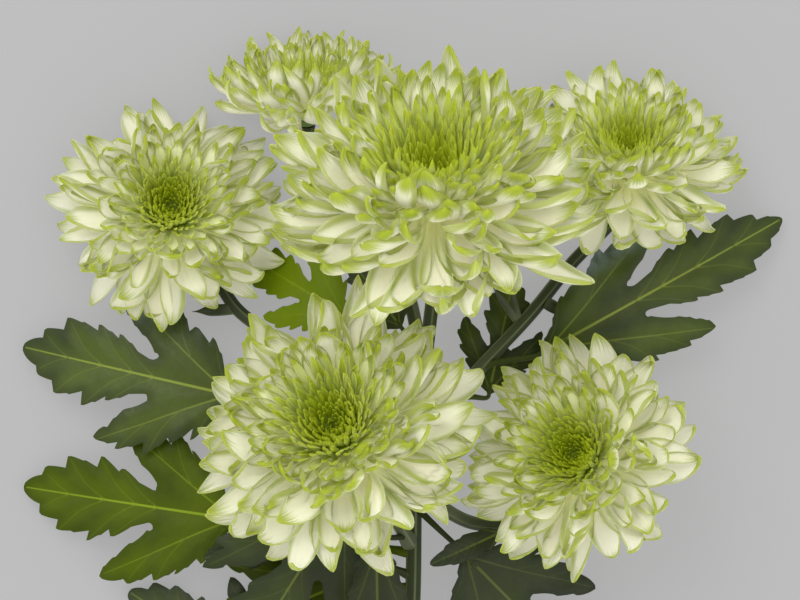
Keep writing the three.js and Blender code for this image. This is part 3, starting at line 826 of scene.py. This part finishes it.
class Nodes:
    """Short names for the nodes that the materials are made of."""

    def __init__(self, name):
        self.material = bpy.data.materials.new(name)
        self.material.use_nodes = True
        self.tree = self.material.node_tree
        self.shader = self.tree.nodes["Principled BSDF"]

    def add(self, kind, **settings):
        node = self.tree.nodes.new(kind)
        for key, value in settings.items():
            setattr(node, key, value)
        return node

    def put(self, socket, value):
        if isinstance(value, bpy.types.NodeSocket):
            self.tree.links.new(value, socket)
        else:
            socket.default_value = value

    def layer(self, name):
        return self.add("ShaderNodeAttribute", attribute_name=name).outputs["Fac"]

    def math(self, operation, a, b):
        node = self.add("ShaderNodeMath", operation=operation)
        self.put(node.inputs[0], a)
        self.put(node.inputs[1], b)
        return node.outputs[0]

    def plus(self, a, b):
        return self.math("ADD", a, b)

    def minus(self, a, b):
        return self.math("SUBTRACT", a, b)

    def times(self, a, b):
        return self.math("MULTIPLY", a, b)

    def larger(self, a, b):
        return self.math("MAXIMUM", a, b)

    def step(self, value, low, high, start=0.0, end=1.0):
        """start up to low and end from high on, with a smooth step between."""
        node = self.add("ShaderNodeMapRange", interpolation_type="SMOOTHSTEP")
        self.put(node.inputs["Value"], value)
        self.put(node.inputs["From Min"], low)
        self.put(node.inputs["From Max"], high)
        self.put(node.inputs["To Min"], start)
        self.put(node.inputs["To Max"], end)
        return node.outputs["Result"]

    def blend(self, share, a, b):
        """Colour a with a share of colour b in it."""
        node = self.add("ShaderNodeMix", data_type="RGBA")
        self.put(node.inputs["Factor"], share)
        self.put(node.inputs[6], a)
        self.put(node.inputs[7], b)
        return node.outputs[2]

    def place(self):
        return self.add("ShaderNodeTexCoord").outputs["Object"]

    def vector(self, x, y, z):
        node = self.add("ShaderNodeCombineXYZ")
        for socket, value in zip(node.inputs, (x, y, z)):
            self.put(socket, value)
        return node.outputs[0]

    def noise(self, place, scale, detail):
        """Noise from 0 to 1, with about scale spots for each unit of place."""
        node = self.add("ShaderNodeTexNoise")
        self.put(node.inputs["Vector"], place)
        self.put(node.inputs["Scale"], scale)
        self.put(node.inputs["Detail"], detail)
        self.put(node.inputs["Roughness"], NOISE_ROUGHNESS)
        return node.outputs["Fac"]

    def bump(self, height, strength, distance):
        node = self.add("ShaderNodeBump")
        self.put(node.inputs["Height"], height)
        self.put(node.inputs["Strength"], strength)
        self.put(node.inputs["Distance"], distance)
        self.put(self.shader.inputs["Normal"], node.outputs[0])

    def set(self, **values):
        for name, value in values.items():
            self.put(self.shader.inputs[name.replace("_", " ")], value)


PETAL_GLOW = 0.19  # stands in for the light that reaches a petal through its neighbours
ROOT_CREAM_AND_SHADE = linear(211, 212, 150)
CREAM = linear(214, 212, 184)
YOUNG_CREAM = linear(219, 225, 145)
RIM_GREENS = (linear(104, 120, 6), linear(146, 158, 40))
EYE_GREEN = linear(126, 142, 8)
EYE_DARK = linear(64, 80, 0)
# Green of young florets' roots; on the core this dark green is painted shade between the florets' roots
YOUNG_ROOT_AND_CORE_SHADE = linear(88, 106, 0)
YOUNG_TIP = linear(160, 174, 30)

# Painted shade, a painted grey reflection and painted light for the leaves
PAINTED_SHADE_GREEN = linear(14, 19, 8)
PAINTED_REFLECTION_GREY = linear(112, 124, 126)
PAINTED_LIGHT_GREEN = linear(104, 124, 0)

STEM_GREENS = (linear(34, 42, 18), linear(48, 57, 26))
STEM_RIB = linear(104, 114, 72)
STEM_OLD = linear(120, 126, 96)

BRACT_GREENS = (linear(96, 122, 52), linear(126, 148, 60))
BRACT_RIM = linear(176, 182, 128)
BRACT_DARK = linear(70, 96, 34)


def floret_material(name, deep):
    """Cream florets with green rims and tips, greener with age. deep is how dark the eye gets."""
    n = Nodes(name)
    along = n.layer("along")
    across = n.layer("across")
    age = n.layer("age")
    tone = n.layer("tone")
    streak_place = n.vector(n.times(across, 9), n.times(along, 0.7), n.times(tone, 40))
    streaks = n.noise(streak_place, 2.2, 3)
    loose = n.times(n.minus(streaks, 0.5), 0.5)
    # Yellower cream toward the root: partly the florets' own colour, partly painted warm shade deep in the
    # head
    cream = n.blend(n.step(along, 0.05, 0.6), ROOT_CREAM_AND_SHADE, CREAM)
    cream = n.blend(n.step(age, 0.45, 0.8, 0.0, 0.6), cream, YOUNG_CREAM)
    green = n.blend(n.noise(n.place(), 90, 2), *RIM_GREENS)
    rim = n.step(n.plus(across, n.times(loose, 0.15)), 0.48, 0.8)
    rim = n.times(rim, n.step(along, 0.1, 0.5, 0.2, 0.95))
    tip_start = n.step(n.plus(age, n.times(tone, 0.2)), 0.05, 0.75, 0.93, 0.82)
    tip = n.step(n.minus(n.plus(along, n.times(loose, 0.6)), tip_start), -0.14, 0.08)
    whole = n.step(n.plus(age, n.times(loose, 0.3)), 0.66, 0.88)
    colour = n.blend(n.larger(n.larger(rim, tip), whole), cream, green)
    under_tip = n.times(n.layer("underside"), n.step(along, 0.76, 0.98, 0.0, 0.6))
    colour = n.blend(under_tip, colour, green)
    colour = n.blend(n.step(age, 0.7, 0.95, 0, deep), colour, EYE_GREEN)
    colour = n.blend(n.step(age, 0.86, 0.98, 0, deep), colour, EYE_DARK)
    young = n.step(age, 0.72, 0.82)
    colour = n.blend(n.times(young, n.step(along, 0.1, 0.6, 0.7, 0.0)), colour, YOUNG_ROOT_AND_CORE_SHADE)
    young_tip = n.times(young, n.step(age, 0.88, 1.0, 1.0, 0.25))
    colour = n.blend(n.times(young_tip, n.step(along, 0.5, 1.0, 0.0, 0.75)), colour, YOUNG_TIP)
    n.set(Base_Color=colour, Roughness=0.55, Specular_IOR_Level=0.2, Subsurface_Weight=0.7,
          Subsurface_Radius=(1.0, 1.0, 1.0), Subsurface_Scale=0.003, Emission_Color=colour,
          Emission_Strength=PETAL_GLOW)
    n.bump(streaks, 0.22, 0.0006)
    return n.material


def leaf_material(name, dark, light, vein_colour, under_colour, gloss):
    """Mottled green with pale vein lines, a darker rim and a paler underside."""
    n = Nodes(name)
    gap = n.layer("vein_gap")
    fine = n.noise(n.place(), 700, 4)
    colour = n.blend(n.step(n.noise(n.place(), 40, 3), 0.3, 0.7), dark, light)
    colour = n.blend(n.times(fine, 0.25), colour, dark)
    colour = n.blend(n.step(gap, 0.0, 5.0, 0.4, 0.0), colour, light)
    colour = n.blend(n.step(n.layer("edge_gap"), 0.0, 5.0, 0.6, 0.0), colour, dark)
    colour = n.blend(n.times(n.layer("underside"), 0.7), colour, under_colour)
    line = n.step(gap, -0.05, 0.25, 1.0, 0.0)
    strong = n.step(n.layer("strength"), 0.25, 0.9, 0.12, 0.85)
    colour = n.blend(n.times(line, strong), colour, vein_colour)
    # Painted shade: a leaf's shade value darkens it toward a shadowed green
    colour = n.blend(n.layer("shade"), colour, PAINTED_SHADE_GREEN)
    # Painted reflection: a grey gleam, in patches, where an edge turns to the light
    patchy = n.step(n.noise(n.place(), 160, 3), 0.35, 0.65, 0.25, 1.0)
    colour = n.blend(n.times(n.layer("painted_reflection"), patchy), colour, PAINTED_REFLECTION_GREY)
    # Painted light: a leaf's light value makes it lighter and yellower
    colour = n.blend(n.layer("light"), colour, PAINTED_LIGHT_GREEN)
    n.set(Base_Color=colour, Roughness=n.step(fine, 0.3, 0.7, 0.42, 0.54), Specular_IOR_Level=gloss)
    n.bump(fine, 0.25, 0.0003)
    return n.material


def make_stem_material():
    """Dark green with paler ribs, and paler by the stem's cut end and the branches' roots."""
    n = Nodes("stem_green")
    broad = n.noise(n.place(), 30, 3)
    fine = n.noise(n.place(), 600, 4)
    colour = n.blend(n.step(broad, 0.3, 0.7), *STEM_GREENS)
    colour = n.blend(n.step(n.layer("rib"), 0.35, 0.9, 0, 0.55), colour, STEM_RIB)
    colour = n.blend(n.step(n.layer("run"), 0.5, 0.1, 0, 0.3), colour, STEM_OLD)
    n.set(Base_Color=colour, Roughness=0.5, Specular_IOR_Level=0.28)
    n.bump(n.plus(n.times(fine, 0.6), broad), 0.35, 0.0004)
    return n.material


def make_bract_material():
    """Green scales with pale rims."""
    n = Nodes("bract_green")
    fine = n.noise(n.place(), 500, 4)
    colour = n.blend(n.step(n.layer("along"), 0.2, 0.95), *BRACT_GREENS)
    colour = n.blend(n.step(n.layer("across"), 0.62, 1.0, 0, 0.7), colour, BRACT_RIM)
    colour = n.blend(n.times(fine, 0.4), colour, BRACT_DARK)
    n.set(Base_Color=colour, Roughness=0.55, Specular_IOR_Level=0.4)
    n.bump(fine, 0.4, 0.0004)
    return n.material


petal_material = floret_material("floret_cream", 0.5)
eye_material = floret_material("floret_green", 0.9)
leaf_materials = {
    "leaf_dark": leaf_material(
        "leaf_dark", dark=linear(30, 40, 6), light=linear(58, 71, 8), vein_colour=linear(110, 124, 38),
        under_colour=linear(88, 102, 52), gloss=0.2,
    ),
    "leaf_bright": leaf_material(
        "leaf_bright", dark=linear(42, 54, 0), light=linear(64, 78, 0), vein_colour=linear(108, 126, 24),
        under_colour=linear(104, 128, 44), gloss=0.08,
    ),
}
stem_material = make_stem_material()
bract_material = make_bract_material()

for number, (name, head) in enumerate(HEADS.items()):
    make_head(name, head, np.random.default_rng(FIRST_HEAD_SEED + number))
make_stems()
LEAF_USUAL = dict(width=1, arch=0.08, lance=False, bright=False, shade=0.0, light=0.0)
for number, (name, leaf) in enumerate(LEAVES.items()):
    leaf = {**LEAF_USUAL, "seed": number / len(LEAVES), **leaf}
    make_leaf(name, leaf, np.random.default_rng(FIRST_LEAF_SEED + number))


# Floor, light and camera, in metres

FLOOR_SIZE = 8
FLOOR_DROP = 0.0002  # keeps the floor clear of what lies on it
FLOOR_GREY = (0.1, 0.1, 0.101, 1)
FLOOR_GLOW = 0.322
WORLD_LIGHT = 1.42
WHITE = (1, 1, 1, 1)
CAMERA_HEIGHT = 1.5
FOCAL_PIXELS = 4364
FRAME_PIXELS = 800
SENSOR = 36.0

bpy.ops.mesh.primitive_plane_add(size=FLOOR_SIZE, location=(0, 0, -FLOOR_DROP))
floor = bpy.context.object
floor.name = "floor"
floor_nodes = Nodes("pale_floor")
floor_nodes.set(Base_Color=FLOOR_GREY, Roughness=0.9, Specular_IOR_Level=0.1,
                Emission_Color=WHITE, Emission_Strength=FLOOR_GLOW)
floor.data.materials.append(floor_nodes.material)

world = bpy.data.worlds.new("studio")
world.use_nodes = True
background = world.node_tree.nodes["Background"]
background.inputs["Color"].default_value = WHITE
background.inputs["Strength"].default_value = WORLD_LIGHT
bpy.context.scene.world = world


def area_light(name, place, power, size):
    """A square lamp that looks at the frame's origin."""
    light = bpy.data.lights.new(name, "AREA")
    light.energy = power
    light.size = size
    lamp = bpy.data.objects.new(name, light)
    lamp.location = place
    lamp.rotation_euler = (-Vector(place)).to_track_quat("-Z", "Y").to_euler()
    bpy.context.scene.collection.objects.link(lamp)


area_light("key", place=(-0.45, 0.75, 1.5), power=15, size=0.9)
area_light("fill", place=(0.7, -0.3, 1.6), power=5, size=1.2)

camera_data = bpy.data.cameras.new("camera")
camera_data.sensor_width = SENSOR
camera_data.lens = SENSOR * FOCAL_PIXELS / FRAME_PIXELS
camera_data.clip_end = 20
camera = bpy.data.objects.new("camera", camera_data)
camera.location = (-ORIGIN[0] * MM, -ORIGIN[1] * MM, CAMERA_HEIGHT)
bpy.context.scene.collection.objects.link(camera)
bpy.context.scene.camera = camera
bpy.context.scene.view_settings.view_transform = "Standard"
